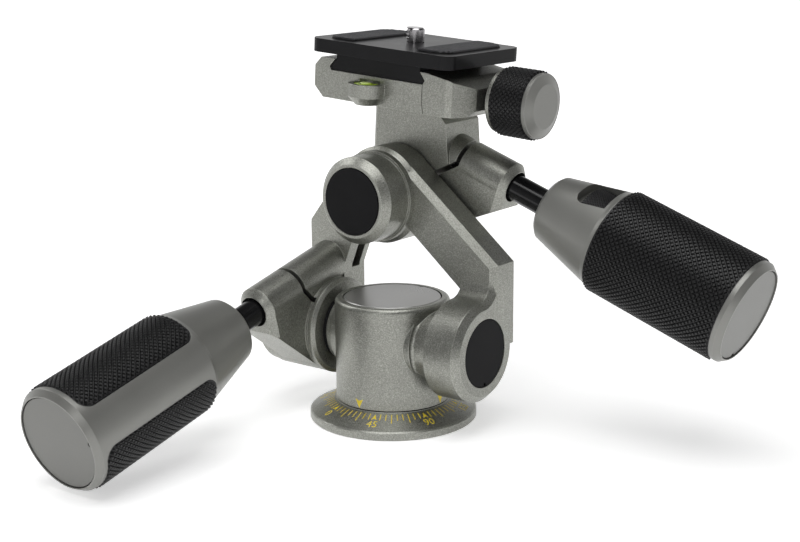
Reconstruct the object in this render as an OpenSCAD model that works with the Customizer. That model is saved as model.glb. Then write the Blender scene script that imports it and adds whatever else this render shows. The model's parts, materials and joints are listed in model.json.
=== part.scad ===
// Three way pan and tilt head for a camera, with two screw-down handles.
// The origin is the centre of the base's underside. +Z is up, +Y is the way the lens looks,
// the front tilt axis runs along X and the side tilt axis along Y.

/* [Base] */
// Radius of the round base
base_r = 30; // [28:0.5:36]
// Height of the base's straight rim
rim_h = 3.2; // [2:0.1:4]
// Height of the base where its cone meets the turning housing
base_h = 7.2; // [6:0.1:9]
// Wall radius of the 3/8 inch tripod thread under the base
tripod_thread_r = 4.1; // [3.8:0.05:4.5]
// Depth of the tripod thread
tripod_thread_d = 9; // [7:0.5:10]

/* [Pan housing] */
// Radius of the round pan housing
housing_r = 20.5; // [20:0.1:22]
// Height of the housing's top above the floor
housing_top = 44; // [43:0.5:47]
// Radius of the rounded top edge
housing_round = 1.6; // [1:0.1:2]
// Radius of the round cover on top
cover_r = 17.4; // [15:0.1:18]
// Height of the front tilt axis above the floor
tilt_z = 29.5; // [29:0.1:30]
// Radius of the necks on both sides of the housing
neck_r = 12.5; // [12:0.1:13]
// Length along Y of the pan lock knob's grip
pan_knob_l = 6.5; // [5:0.5:7]

/* [Yoke] */
// Distance of the side tilt axis left of the pan axis
hub_offset = 10.3; // [10:0.1:11]
// Height of the side tilt axis above the floor
hub_z = 78.3; // [78:0.1:79]
// Radius of the yoke's round ends
hub_r = 17.5; // [17:0.1:18]
// Front plane of the yoke's arms
arm_front = 5.5; // [5:0.1:6]
// Inner face of the right arm
arm_in = 26.3; // [26:0.1:26.6]
// Outer face of the right arm
arm_out = 40; // [39:0.1:42]
// Fall of the right arm's slanting part, in degrees below level
arm_fall = 40; // [38:0.5:42]
// Width of the right arm's slanting part
arm_w = 16.8; // [15:0.1:17.5]
// Chamfer along the yoke's front edges
arm_chamfer = 2.2; // [1:0.1:2.5]
// Radius of the fillet between the right arm and its round end
arm_fillet = 6; // [4:0.5:8]
// Radius of the black cap on the hub and on the right arm
cap_r = 11.7; // [10:0.1:11.8]
// Outer radius of the collar in front of the hub
collar_r = 15.5; // [15:0.1:16]
// Front face of the collar, in front of the pan axis
collar_front = 9.3; // [8:0.1:11]

/* [Split clamps] */
// Radius of the drum that a split clamp grips
drum_r = 11.6; // [11:0.1:12]
// Width of a split clamp along its axis
clamp_w = 20.4; // [20:0.1:20.8]
// Distance from a clamp's axis to its handle's axis
handle_offset = 19.3; // [19:0.1:20]
// Radius of a clamp's handle tube
tube_r = 8; // [7.8:0.1:8.2]
// Width of the slit that a handle pulls shut
slit_w = 1.8; // [1.4:0.1:2.2]
// Distance from the mouth of the front handle's tube to its slit
front_slit = 19; // [18:0.5:20]
// Distance from the mouth of the side handle's tube to its slit
side_slit = 21; // [20:0.5:23]
// Distance of the front handle's tube mouth from the clamp
front_reach = 32; // [31:0.5:33]
// Distance of the side handle's tube mouth from the clamp
side_reach = 40.4; // [39.5:0.1:42]
// Fall of the front handle, in degrees below level
front_drop = 14; // [13.5:0.1:14]
// Fall of the side handle, in degrees below the platform
side_drop = 16; // [15:0.5:17]

/* [Platform] */
// Side tilt of the platform as it stands, in degrees
lean = 4; // [2:0.5:4]
// Front face of the platform's split clamp
ring_front = 18; // [17.8:0.1:18.4]
// Length of the camera plate
plate_l = 61.3; // [59:0.1:63]
// Depth of the camera plate
plate_d = 45; // [43:0.5:48]
// Thickness of the camera plate above its dovetail
plate_t = 4.8; // [4.5:0.1:5.5]
// Height of the camera plate's top when the platform is level
plate_top = 131.6; // [131.4:0.1:133]
// Radius of the camera plate's corners
plate_corner = 4.5; // [3:0.5:6]
// Height of the plate clamp's underside
clamp_low = 110.4; // [110:0.1:111]
// Depth of the plate clamp along Y
clamp_d = 39; // [38:0.5:40]
// Plate clamp's left end from the side tilt axis
clamp_left = 30.3; // [29.5:0.1:31]
// Split between the fixed and the moving jaw, from the side tilt axis
jaw_split = 17.6; // [17:0.1:18]
// Length of the moving jaw along X
jaw_l = 16.6; // [16:0.1:18]
// Outer radius of the clamp knob
knob_r = 11.5; // [10.5:0.1:11.8]
// Length of the clamp knob's rubber grip
knob_l = 13; // [11:0.5:15]
// Radius of the bubble level's window
vial_r = 4.9; // [4.5:0.1:5.2]
// Radius of the camera screw's thread
camera_screw_r = 3.1; // [3:0.05:3.2]
// Height that the camera screw stands above the plate
camera_screw_h = 5.2; // [4:0.1:6]

/* [Handles] */
// Radius of a handle's grip
grip_r = 18; // [17:0.1:18.4]
// Radius of a handle's small end
grip_small_r = 11.9; // [11:0.1:13]
// Length of a handle's cone
cone_l = 25.5; // [24:0.5:28]
// Length of a handle's round grip
grip_l = 53.5; // [52:0.5:60]
// Thickness of the rubber panels
rubber_t = 1.4; // [1:0.1:1.8]
// Angle of the bare spine between the rubber panels
spine_deg = 45; // [38:1:52]
// Turn of the front handle about its rod
front_roll = 111; // [0:1:180]
// Turn of the side handle about its rod
side_roll = 13; // [0:1:180]
// Radius of the inset end cap
end_cap_r = 15.7; // [15:0.1:16]
// Radius of a handle's rod
rod_r = 4.7; // [4.5:0.1:4.8]
// Bare rod between the front handle and its clamp
front_rod_show = 13.5; // [13:0.5:16]
// Bare rod between the side handle and its clamp
side_rod_show = 16; // [15:0.5:18]
// Outer radius of the locking wheel inside a handle's cone
wheel_r = 13.6; // [13:0.1:13.8]
// Width of the locking wheel
wheel_w = 9.5; // [8:0.5:10]
// Width of the window over the locking wheel
window_w = 15.6; // [12:0.1:17]

/* [Fits] */
// Radial play of a turning fit
turn_fit = 0.06; // [0.03:0.01:0.1]
// Play between faces that slide or turn past each other
face_gap = 0.3; // [0.2:0.05:0.4]
// Width of the dark joints around caps and covers
seam = 0.35; // [0.2:0.05:0.5]

/* [Hidden] */
$fn = 64;
eps = 0.01;
grey = "#8b8c86";
dark = "#3c3d3b";
rubber = "#202021";
steel = "#9a9a98";

// Frames
hub_x = -hub_offset;
blend = 0.18;
arm_t = hub_r - blend - arm_front;
arm_back = arm_front + arm_t;

module on_tilt_axis() translate([0, 0, tilt_z]) rotate([90, 0, 90]) children();
module on_hub_axis() translate([hub_x, 0, hub_z]) rotate([90, 0, 0]) children();
module on_front_clamp() translate([0, 0, tilt_z]) rotate([90, 0, -90]) children();
module on_platform() translate([hub_x, 0, hub_z]) rotate([0, lean, 0])
    translate([-hub_x, 0, -hub_z]) children();
module on_side_clamp() on_platform() on_hub_axis() children();

// Along a handle from its clamp: z runs outward, y is up, x is minus the clamp's axis
module on_handle(drop, across) translate([0, 0, across]) rotate([0, 0, -drop])
    translate([0, handle_offset, 0]) rotate([0, 90, 0]) children();

// A round bar from z0 to z1 along the local z axis
module bar(r, z0, z1) translate([0, 0, z0]) cylinder(r = r, h = z1 - z0);
module taper(r0, r1, z0, z1) translate([0, 0, z0]) cylinder(r1 = r0, r2 = r1, h = z1 - z0);
module block(x0, x1, y0, y1, z0, z1) translate([x0, y0, z0]) cube([x1 - x0, y1 - y0, z1 - z0]);

// Base: turned flange, spindle, thread insert and washer
spindle_r = 9;
spindle_top = 24;
washer_t = 0.4;
rim_chamfer = 0.5;
housing_low = base_h + washer_t;

module base_flange() color(grey) rotate_extrude($fn = 128) polygon([
    [spindle_r, 0], [base_r - rim_chamfer, 0], [base_r, rim_chamfer],
    [base_r, rim_h - rim_chamfer], [base_r - rim_chamfer, rim_h],
    [housing_r, base_h - 0.2], [housing_r, base_h], [spindle_r, base_h]]);

insert_r = tripod_thread_r + 2.4;
insert_h = tripod_thread_d + 1;
module thread_insert() color("#b5a569") difference() {
    bar(insert_r, 0, insert_h);
    bar(tripod_thread_r, -eps, tripod_thread_d);
}

module pan_spindle() color(steel) difference() {
    union() {
        bar(spindle_r, 0, spindle_top);
        bar(spindle_r + 3, spindle_top - 4, spindle_top);
    }
    bar(insert_r, -eps, insert_h);
}

washer_in = spindle_r + 1;
module friction_washer() color(rubber) difference() {
    bar(housing_r - 0.4, base_h, housing_low);
    bar(washer_in, base_h - eps, housing_low + eps);
}

// Pan housing with a neck on each side
neck_left = housing_r + 0.8;
neck_right = 26;
flare = 1.4;
cover_t = 2.5;
pin_r = 7;
pan_lock_z = 19;
pan_stud_r = 3;
pan_seat_r = 8;
pan_seat_y = housing_r + 1;

module neck(length, turn) on_tilt_axis() rotate([0, turn, 0]) rotate_extrude() polygon(concat(
    [[0, spindle_r + 1], [0, length], [neck_r - 0.8, length], [neck_r, length - 0.8]],
    [for (a = [0 : 15 : 90]) [neck_r + flare * (1 - cos(a)), housing_r - 1.5 - flare * sin(a)]],
    [[neck_r + flare, spindle_r + 1]]));

module pan_housing() color(grey) difference() {
    union() {
        rotate_extrude($fn = 128) polygon(concat(
            [[0, housing_low], [housing_r, housing_low]],
            [for (a = [0 : 15 : 90]) [housing_r - housing_round * (1 - cos(a)),
                housing_top - housing_round * (1 - sin(a))]],
            [[0, housing_top]]));
        neck(neck_right, 0);
        neck(neck_left, 180);
        on_pan_lock() bar(pan_seat_r, 10, pan_seat_y);
    }
    bar(spindle_r + turn_fit, housing_low - eps, spindle_top + face_gap);
    bar(spindle_r + 3 + turn_fit, spindle_top - 4 - face_gap, spindle_top + face_gap);
    bar(cover_r + seam, housing_top - cover_t, housing_top + eps);
    on_tilt_axis() bar(pin_r, spindle_r + 4, neck_right + 1);
    on_tilt_axis() bar(pin_r, -neck_left - 1, -spindle_r - 4);
    on_pan_lock() bar(pan_stud_r + turn_fit, spindle_r + 3.5, pan_seat_y + 1);
}

module top_cover() color(dark) difference() {
    rotate_extrude($fn = 128) polygon([[0, housing_top - cover_t], [cover_r, housing_top - cover_t],
        [cover_r, housing_top - 0.4], [cover_r - 0.4, housing_top], [0, housing_top]]);
    translate([0, cover_r + 0.6, housing_top - 0.8]) cylinder(r = 1.6, h = 2);
}

// Front tilt shaft: a flanged drum on the left, a pin on the right
flange_in = neck_left + 1.2;
flange_out = 24.9;
clamp_in = flange_out + face_gap;
clamp_out = clamp_in + clamp_w;
end_seam = 0.4;
end_cap_t = 5;

module tilt_drum() color(grey) on_tilt_axis() rotate([0, 180, 0]) rotate_extrude() polygon([
    [0, spindle_r + 4], [pin_r, spindle_r + 4], [pin_r, neck_left], [pin_r + 2, neck_left],
    [pin_r + 2, flange_in], [hub_r - 1.1, flange_in], [hub_r + 0.1, flange_in + 1.1],
    [hub_r + 0.1, flange_out], [drum_r, flange_out], [drum_r, clamp_out - 1], [0, clamp_out - 1]]);

module neck_seal() color(rubber) on_tilt_axis() rotate([0, 180, 0]) difference() {
    bar(neck_r - 0.6, neck_left, flange_in);
    bar(pin_r + 2, neck_left - eps, flange_in + eps);
}

pin_end = arm_out - 5.5;
module tilt_pin() color(steel) on_tilt_axis() bar(pin_r, spindle_r + 4, pin_end);

// Pan lock knob on the far side of the housing
pan_knob_r = 8.5;
pan_knob_y = pan_seat_y + face_gap;
module on_pan_lock() translate([0, 0, pan_lock_z]) rotate([-90, 0, 0]) children();

module pan_lock_stud() color(steel) on_pan_lock() bar(pan_stud_r, spindle_r + 3.8, pan_knob_y + pan_knob_l);

module pan_lock_grip() color(rubber) on_pan_lock() difference() {
    bar(pan_knob_r, pan_knob_y, pan_knob_y + pan_knob_l);
    bar(pan_stud_r, pan_knob_y - eps, pan_knob_y + pan_knob_l + eps);
}

module pan_lock_cap() color(grey) on_pan_lock()
    taper(pan_knob_r, pan_knob_r - 1, pan_knob_y + pan_knob_l, pan_knob_y + pan_knob_l + 1.2);

// Yoke: right arm and left bracket, joined at the hub
arm_dir = [cos(arm_fall), -sin(arm_fall)];
arm_nrm = [sin(arm_fall), cos(arm_fall)];
hub_c = [hub_x, hub_z];
arm_start = hub_c + (hub_r - blend) * arm_nrm;
knee_s = (arm_out - arm_start[0]) / arm_dir[0];
knee = arm_start + knee_s * arm_dir;
inner_start = hub_c + (hub_r - arm_w) * arm_nrm;
inner_knee = inner_start + (arm_in - inner_start[0]) / arm_dir[0] * arm_dir;
fillet_y = arm_front - arm_fillet;
fillet_z = sqrt(pow(hub_r + arm_fillet, 2) - pow(fillet_y, 2));
fillet_sweep = 90 + atan2(fillet_y, fillet_z) + 3;
shaft_r = 8;
collar_depth = 3;
screw_ring = 12.6;
screw_r = 1.7;

// A bar that chamfers an edge along local z
module edge_cut(length, c) rotate([0, 0, 45]) translate([-c * 0.7071, -c * 0.7071, 0])
    cube([c * 1.4142, c * 1.4142, length]);

// A disc from z0 to z1 with its far rim chamfered
module chamfered_disc(r, z0, z1, c) rotate_extrude()
    polygon([[0, z0], [r, z0], [r, z1 - c], [r - c, z1], [0, z1]]);

module yoke_slab(points) translate([0, arm_back, 0]) rotate([90, 0, 0])
    linear_extrude(arm_t) polygon(points);

module hub_disc() on_hub_axis() chamfered_disc(hub_r, -arm_back, -arm_front, arm_chamfer - 2 * blend);

// Concave fillet in YZ between the arm's front plane and its round end
module fillet_prism() on_tilt_axis() difference() {
    translate([0, 0, arm_in]) linear_extrude(arm_out - arm_in) polygon(concat(
        [for (a = [0 : 7.5 : fillet_sweep]) [fillet_y + arm_fillet * cos(a), fillet_z - arm_fillet * sin(a)]],
        [[0, hub_r - 4], [arm_front + 1, hub_r - 4], [arm_front + 1, fillet_z]]));
    translate([fillet_y, fillet_z, 0])
        taper(arm_fillet - 0.1, arm_fillet + arm_chamfer + 0.3, arm_out - arm_chamfer - 0.1, arm_out + 0.3);
}

module yoke_cuts(turn) {
    on_hub_axis() bar(shaft_r, -arm_back - 1, 0);
    on_hub_axis() for (side = [-1, 1]) rotate([0, 0, turn + side * 45]) translate([screw_ring, 0, 0])
        bar(screw_r, -arm_back - 1, -arm_back + 5);
}

module right_arm() color(grey) difference() {
    union() {
        difference() {
            yoke_slab([hub_c, arm_start, knee, [arm_out, tilt_z], [arm_in, tilt_z], inner_knee, inner_start]);
            translate([arm_start[0], arm_front, arm_start[1]]) rotate([0, 90 + arm_fall, 0])
                edge_cut(knee_s + 5, arm_chamfer);
            translate([arm_out, arm_front, tilt_z]) edge_cut(knee[1] - tilt_z + 5, arm_chamfer);
        }
        hub_disc();
        on_tilt_axis() chamfered_disc(hub_r, arm_in, arm_out, arm_chamfer);
        fillet_prism();
    }
    block(hub_x - 60, hub_x, -30, 30, hub_z - 30, hub_z + 30);
    yoke_cuts(0);
    on_tilt_axis() bar(pin_r + turn_fit, arm_in - 1, pin_end + face_gap);
    on_tilt_axis() bar(cap_r + seam, arm_out - collar_depth, arm_out + 1);
}

// Left bracket: outline in XZ, with the split clamp and the handle tube
front_across = clamp_in + 0.8 + tube_r;
bracket_out = front_across + tube_r;
bracket_in = front_across - tube_r + 0.6;
left_fall = 90 - arm_fall;
left_nrm = [-cos(arm_fall), sin(arm_fall)];
left_start = hub_c + (hub_r - blend) * left_nrm;
corner_z = left_start[1] - (bracket_out + left_start[0]) * tan(left_fall);
corner_r = 7;
wall_knee = tilt_z + 20.5;
corner_c = [corner_r - bracket_out, corner_z - corner_r * tan((90 - left_fall) / 2)];
slot_y = 12.4;
slot_w = 4.4;
slot_l = 10.5;
wall_top = [hub_x - hub_r * 0.6, hub_z - hub_r * 0.8 + 0.3];

function axis_point(t, off, drop) = [t * cos(drop) + off * sin(drop), -t * sin(drop) + off * cos(drop)];
jaw_below = 8;
tube_chamfer = 2.4;
mouth_r = 5.6;
mouth_d = 6;

// Direction from a clamp's centre to a point, in degrees
function heading(p) = atan2(p[1], p[0]);
function tangent_foot(p, r) = let (a = heading(p) - acos(r / norm(p))) [r * cos(a), r * sin(a)];

// Split clamp with its handle tube, across is the tube's place along the clamp's axis
module clamp_solid(z0, z1, reach, drop, across, back) {
    jaw_end = axis_point(reach, handle_offset - jaw_below, drop);
    bar(hub_r, z0, z1);
    on_handle(drop, across) {
        bar(tube_r, back, reach - tube_chamfer);
        taper(tube_r, tube_r - tube_chamfer, reach - tube_chamfer, reach);
    }
    difference() {
        translate([0, 0, across - tube_r + blend]) linear_extrude(2 * (tube_r - blend)) polygon([
            axis_point(reach, handle_offset, drop), jaw_end, tangent_foot(jaw_end, hub_r - blend), [0, 0],
            axis_point(0, handle_offset, drop)]);
        on_handle(drop, across) translate([0, 0, reach]) for (side = [0, 1]) mirror([side, 0, 0])
            translate([tube_r - blend, 2, 0]) rotate([90, 0, 0]) edge_cut(jaw_below + 4, tube_chamfer);
    }
}

// What is cut from a split clamp: drum bore, slit and the rod's hole
module clamp_cuts(z0, z1, reach, drop, across, slit, bore_z) {
    kink = axis_point(reach - slit, handle_offset + 0.5, drop);
    top = axis_point(reach - slit, handle_offset + tube_r + 3, drop);
    bar(drum_r + turn_fit, bore_z, z1);
    translate([0, 0, z0 - 1]) linear_extrude(z1 - z0 + 2) polygon(slit_points(top, kink, [0, 0], slit_w / 2));
    on_handle(drop, across) {
        bar(rod_r + turn_fit, rod_back - face_gap, reach + 1);
        bar(mouth_r, reach - mouth_d, reach + 1);
    }
}

// Outline of a bent strip through a, b and c
function unit(v) = v / norm(v);
function left_of(v) = [-v[1], v[0]];
function slit_points(a, b, c, half) = let (n = left_of(unit(b - a)), m = left_of(unit(c - b)),
    mitre = half * (n + m) / (1 + n * m))
    [a + half * n, b + mitre, c + half * m, c - half * m, b - mitre, a - half * n];

rod_back = -4;

module left_bracket() color(grey) difference() {
    union() {
        yoke_slab(concat([hub_c, left_start],
            [for (a = [180 - left_fall + 40 : 10 : 180]) corner_c + corner_r * [cos(a), sin(a)]],
            [[-bracket_out, tilt_z], [-bracket_in, tilt_z], [-bracket_in, wall_knee], wall_top]));
        hub_disc();
        on_front_clamp() clamp_solid(clamp_in, clamp_out, front_reach, front_drop, front_across, -14);
    }
    block(hub_x, hub_x + 60, -30, 30, hub_z - 30, hub_z + 30);
    yoke_cuts(180);
    on_front_clamp() clamp_cuts(clamp_in, clamp_out + 1, front_reach, front_drop, front_across, front_slit,
        clamp_in - 1);
    wall_slot();
}

// Long slot in the bracket's inner wall, along the wall's slant
slot_depth = 6;
module wall_slot() {
    d = unit(wall_top - [-bracket_in, wall_knee]);
    n = left_of(d);
    low = [-bracket_in, wall_knee] - d;
    high = low + slot_l * d;
    translate([0, slot_y + slot_w / 2, 0]) rotate([90, 0, 0]) linear_extrude(slot_w)
        polygon([low - 3 * n, high - 3 * n, high + slot_depth * n, low + slot_depth * n]);
}

left_cap_r = hub_r - 0.6;
module left_end_cap() color(grey) on_front_clamp() rotate_extrude() polygon([
    [0, clamp_out + end_seam], [left_cap_r, clamp_out + end_seam], [left_cap_r, clamp_out + end_cap_t - 1.2],
    [left_cap_r - 1.2, clamp_out + end_cap_t], [0, clamp_out + end_cap_t]]);

module hub_collar() color(grey) on_hub_axis() difference() {
    union() {
        bar(collar_r + 0.9, -arm_front, -arm_front + 2.5);
        bar(collar_r, -arm_front, collar_front - 2.6);
        taper(collar_r, collar_r - 2.4, collar_front - 2.6, collar_front);
    }
    bar(cap_r + seam, collar_front - collar_depth, collar_front + 1);
    bar(shaft_r, -arm_front - 1, collar_front - collar_depth - 2);
}

module hub_cap() color(rubber) on_hub_axis() bar(cap_r, collar_front - collar_depth, collar_front + 0.3);

module arm_cap() color(rubber) on_tilt_axis() difference() {
    bar(cap_r, arm_out - collar_depth, arm_out - 0.2);
    rotate([0, 0, -90]) translate([cap_r - 0.6, 0, arm_out - 1]) cylinder(r = 0.7, h = 2, $fn = 24);
}

ring_back = ring_front + clamp_w;
module side_drum() color(steel) on_hub_axis() {
    bar(shaft_r, -arm_back - face_gap, collar_front - collar_depth - 2);
    bar(drum_r, -ring_back + 1, -arm_back - face_gap);
}

module yoke_screws() color(rubber) on_hub_axis() for (side = [45, 135, 225, 315]) rotate([0, 0, side])
    translate([screw_ring, 0, 0]) bar(screw_r, -arm_back, -arm_back + 5);

// Platform: split clamp, stem and tube in one casting
side_across = -(ring_front + 1 + tube_r);
stem_left = hub_x - 14.1;
stem_right = hub_x + 9;
stem_edge = 2.4;
module platform_casting() color(grey) on_platform() difference() {
    union() {
        on_hub_axis() clamp_solid(-ring_back, -ring_front, side_reach, side_drop, side_across, -8);
        translate([0, ring_front, 0]) stem();
    }
    on_hub_axis() clamp_cuts(-ring_back - 1, -ring_front, side_reach, side_drop, side_across, side_slit,
        -ring_back - 1);
    at_clamp_screws() bar(screw_shank_r, clamp_low - 8, clamp_low + 1);
}

module stem() difference() {
    translate([0, clamp_w, 0]) rotate([90, 0, 0]) linear_extrude(clamp_w) polygon([
        [stem_left, clamp_low], [stem_left, hub_z + 10.4], [hub_x, hub_z], [stem_right + 12, hub_z + 12],
        [stem_right + 10, clamp_low - 5], [stem_right + 5, clamp_low]]);
    translate([stem_left, 0, hub_z - 20]) edge_cut(60, stem_edge);
    on_hub_axis() bar(hub_r - 4, -40, 40);
}

module ring_cap() color(rubber) on_platform() on_hub_axis()
    taper(hub_r - 1.8, hub_r - 0.6, -ring_back - 2.5 - face_gap, -ring_back - face_gap);

// Plate clamp: base with the fixed jaw, moving jaw, knob
mid_y = ring_front + 6;
clamp_y0 = mid_y - clamp_d / 2;
clamp_y1 = mid_y + clamp_d / 2;
plate_low = plate_top - plate_t;
jaw_top = plate_low - 2.1;
floor_z = jaw_top - 4.2;
clamp_x0 = hub_x - clamp_left;
split_x = hub_x + jaw_split;
bed_left = clamp_x0 + 7.4;
jaw_x1 = split_x + jaw_l;
knob_z = clamp_low + 5.6;
level_x = hub_x - 5;
level_y = clamp_y0 - 1.5;
level_r = vial_r + 1.8;
level_top = floor_z - 2.3;
stud_r = 3;
stud_in = 9;
guide_r = 2;

module at_knob_axis() translate([0, mid_y, knob_z]) rotate([0, 90, 0]) children();
screw_shank_r = 2;
module at_clamp_screws() for (x = [-1, 1]) translate([hub_x - 2 + 7 * x, ring_front + clamp_w / 2, 0])
    children();

module along_y(y0, y1) translate([0, y1, 0]) rotate([90, 0, 0]) linear_extrude(y1 - y0) children();

module clamp_base() color(grey) on_platform() difference() {
    union() {
        along_y(clamp_y0, clamp_y1) polygon([
            [clamp_x0, clamp_low + 3.8], [clamp_x0 + 4, clamp_low], [split_x + 0.9, clamp_low],
            [split_x, clamp_low + 4], [split_x, floor_z],
            [bed_left, floor_z], [bed_left - 0.6, floor_z + 1.4],
            [bed_left + 1.8, jaw_top], [clamp_x0 + 2.8, jaw_top], [clamp_x0, jaw_top - 3]]);
        translate([level_x, level_y, 0]) {
            bar(level_r, clamp_low + 3.2, level_top);
            taper(level_r - 2.6, level_r, clamp_low + 0.4, clamp_low + 3.2);
        }
        along_z(clamp_low + 3.2, level_top) polygon([[level_x - level_r, level_y],
            [level_x + level_r + 5, clamp_y0 + 0.5], [level_x - level_r, clamp_y0 + 0.5]]);
    }
    translate([level_x, level_y, 0]) bar(vial_r, level_top - 2.4, level_top + 1);
    at_knob_axis() bar(stud_r + turn_fit, split_x - stud_in - 1, split_x + 2);
    at_guides() bar(guide_r, split_x - 8, split_x + 2);
    at_clamp_screws() {
        bar(screw_shank_r, clamp_low - 1, floor_z + 1);
        bar(3.6, floor_z - 3.2, floor_z + 1);
    }
}

module along_z(z0, z1) translate([0, 0, z0]) linear_extrude(z1 - z0) children();

module level_vial() color("#c6dc2e") on_platform() translate([level_x, level_y, 0]) rotate_extrude() polygon([
    [0, level_top - 2.4], [vial_r, level_top - 2.4], [vial_r, level_top - 0.3], [0, level_top + 0.1]]);

module clamp_screws() color(steel) on_platform() at_clamp_screws() difference() {
    union() {
        bar(screw_shank_r, clamp_low - 8, floor_z - 3.2);
        bar(3.5, floor_z - 3.2, floor_z - 0.4);
    }
    translate([0, 0, floor_z - 2.2]) cylinder(r = 1.7, h = 3, $fn = 6);
}

module at_guides() for (side = [-1, 1]) translate([0, 13 * side, 0]) at_knob_axis() children();
module guide_pins() color(steel) on_platform() at_guides() bar(guide_r, split_x - 8, split_x + 9);

module moving_jaw() color(grey) on_platform() difference() {
    intersection() {
        along_y(clamp_y0 - 1, clamp_y1 + 1) polygon([
            [split_x + 0.9 + face_gap, clamp_low], [jaw_x1 - 2, clamp_low], [jaw_x1, clamp_low + 2],
            [jaw_x1, jaw_top - 4.6], [jaw_x1 - 6, jaw_top - 1.4], [split_x + 1.6, jaw_top],
            [split_x - 1, jaw_top], [split_x + 1.2, floor_z + 1.4], [split_x + face_gap, floor_z],
            [split_x + face_gap, clamp_low + 4]]);
        along_z(clamp_low - 1, jaw_top + 1) polygon([[split_x - 3, clamp_y0], [jaw_x1 - 6.5, clamp_y0],
            [jaw_x1 - 4.5, clamp_y0 + 1], [jaw_x1, clamp_y0 + 9.5], [jaw_x1, clamp_y1 - 9.5],
            [jaw_x1 - 4.5, clamp_y1 - 1], [jaw_x1 - 6.5, clamp_y1], [split_x - 3, clamp_y1]]);
    }
    at_knob_axis() bar(stud_r + turn_fit, split_x - 1, jaw_x1 + 1);
    at_guides() bar(guide_r + turn_fit, split_x - 1, split_x + 9.5);
}

neck_x = jaw_x1 + face_gap;
neck_l = 3;
flange_l = 2.5;
cap_l = 2.8;
knob_x = neck_x + neck_l;
module on_knob() on_platform() at_knob_axis() children();

module clamp_stud() color(rubber) on_knob() {
    bar(stud_r, split_x - stud_in, knob_x);
    bar(stud_r + 3, neck_x, knob_x);
}

module knob_flange() color(grey) on_knob() {
    taper(knob_r - 1.6, knob_r - 0.3, knob_x, knob_x + 1);
    bar(knob_r - 0.3, knob_x + 1, knob_x + flange_l);
}

module knob_grip() color(rubber) on_knob() bar(knob_r, knob_x + flange_l, knob_x + flange_l + knob_l);

module knob_cap() color(grey) on_knob() {
    bar(knob_r - 0.2, knob_x + flange_l + knob_l, knob_x + flange_l + knob_l + 1.4);
    taper(knob_r - 0.6, knob_r - 3.8, knob_x + flange_l + knob_l + 1.4, knob_x + flange_l + knob_l + cap_l);
}

// Camera plate with its dovetail, pads and screw
plate_x0 = hub_x - plate_l / 2 - 0.3;
plate_x1 = plate_x0 + plate_l;
plate_y0 = mid_y - plate_d / 2;
plate_y1 = mid_y + plate_d / 2;
plate_play = 0.12;
screw_x = (plate_x0 + plate_x1) / 2;
pad_t = 1;
pad_inset = 4;
pad_w = 13;
head_r = 7;
head_h = 2.4;
screw_relief = 0.4;
screw_tip = plate_top + camera_screw_h;

module plate_outline() round_square(plate_x0, plate_x1, plate_y0, plate_y1, plate_corner);

// Rectangle with round corners, from a polygon
module round_square(x0, x1, y0, y1, r) polygon([for (q = [0 : 3], a = [0 : 15 : 90])
    let (cx = q == 0 || q == 3 ? x1 - r : x0 + r, cy = q < 2 ? y1 - r : y0 + r)
    [cx + r * cos(90 * q + a), cy + r * sin(90 * q + a)]]);

module camera_plate() color(dark) on_platform() difference() {
    union() {
        along_z(plate_low, plate_top) plate_outline();
        along_y(clamp_y0 + 0.5, clamp_y1 - 0.5) polygon([
            [bed_left + plate_play, floor_z + plate_play], [split_x - plate_play, floor_z + plate_play],
            [split_x + 1 - plate_play, floor_z + 1.4], [split_x - 1.4 - plate_play, jaw_top + 0.2],
            [split_x - 1.4 - plate_play, plate_low + eps],
            [bed_left + 2 + plate_play, plate_low + eps], [bed_left + 2 + plate_play, jaw_top + 0.2],
            [bed_left - 0.4 + plate_play, floor_z + 1.4]]);
    }
    for (side = [0, 1]) along_z(plate_top - pad_t + 0.4, plate_top + 1) pad_outline(side);
    translate([screw_x, mid_y, 0]) {
        bar(camera_screw_r + turn_fit, floor_z - 1, plate_top + 1);
        bar(head_r + face_gap, floor_z - 1, floor_z + head_h + 1);
    }
}

// D-shaped pad along an end of the plate: straight inner edge, rounded outer corners
module pad_outline(side) {
    x = side == 0 ? plate_x0 + pad_inset : plate_x1 - pad_inset;
    s = side == 0 ? 1 : -1;
    r = 6;
    y0 = plate_y0 + pad_inset;
    y1 = plate_y1 - pad_inset;
    polygon(concat(
        [for (a = [0 : 15 : 90]) [x + s * r * (1 - sin(a)), y0 + r * (1 - cos(a))]],
        [for (a = [0 : 15 : 90]) [x + s * r * (1 - cos(a)), y1 - r * (1 - sin(a))]],
        [[x + s * pad_w, y1 - 2], [x + s * pad_w, y0 + 2]]));
}

module pad(side) color(rubber) on_platform()
    along_z(plate_top - pad_t + 0.4, plate_top + 0.4) pad_outline(side);
module pad_left() pad(0);
module pad_right() pad(1);

module camera_screw() color("#d8d8d6") on_platform() translate([screw_x, mid_y, 0]) difference() {
    union() {
        bar(head_r, floor_z + 0.4, floor_z + head_h + 0.4);
        bar(camera_screw_r - 0.4, floor_z + head_h, plate_top + screw_relief);
        bar(camera_screw_r, plate_top + screw_relief, screw_tip - 0.6);
        taper(camera_screw_r, camera_screw_r - 0.6, screw_tip - 0.6, screw_tip);
    }
    block(-0.8, 0.8, -head_r - 1, head_r + 1, floor_z - 1, floor_z + 1.6);
    block(-0.5, 0.5, -5, 5, screw_tip - 1.2, screw_tip + 1);
}

clip_top = plate_low - 0.2;
module screw_clip() color(steel) on_platform() translate([screw_x, mid_y, 0]) difference() {
    bar(head_r + face_gap, floor_z + head_h + 0.8, floor_z + head_h + 1);
    bar(camera_screw_r + 0.5, floor_z, clip_top + 4);
}

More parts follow.
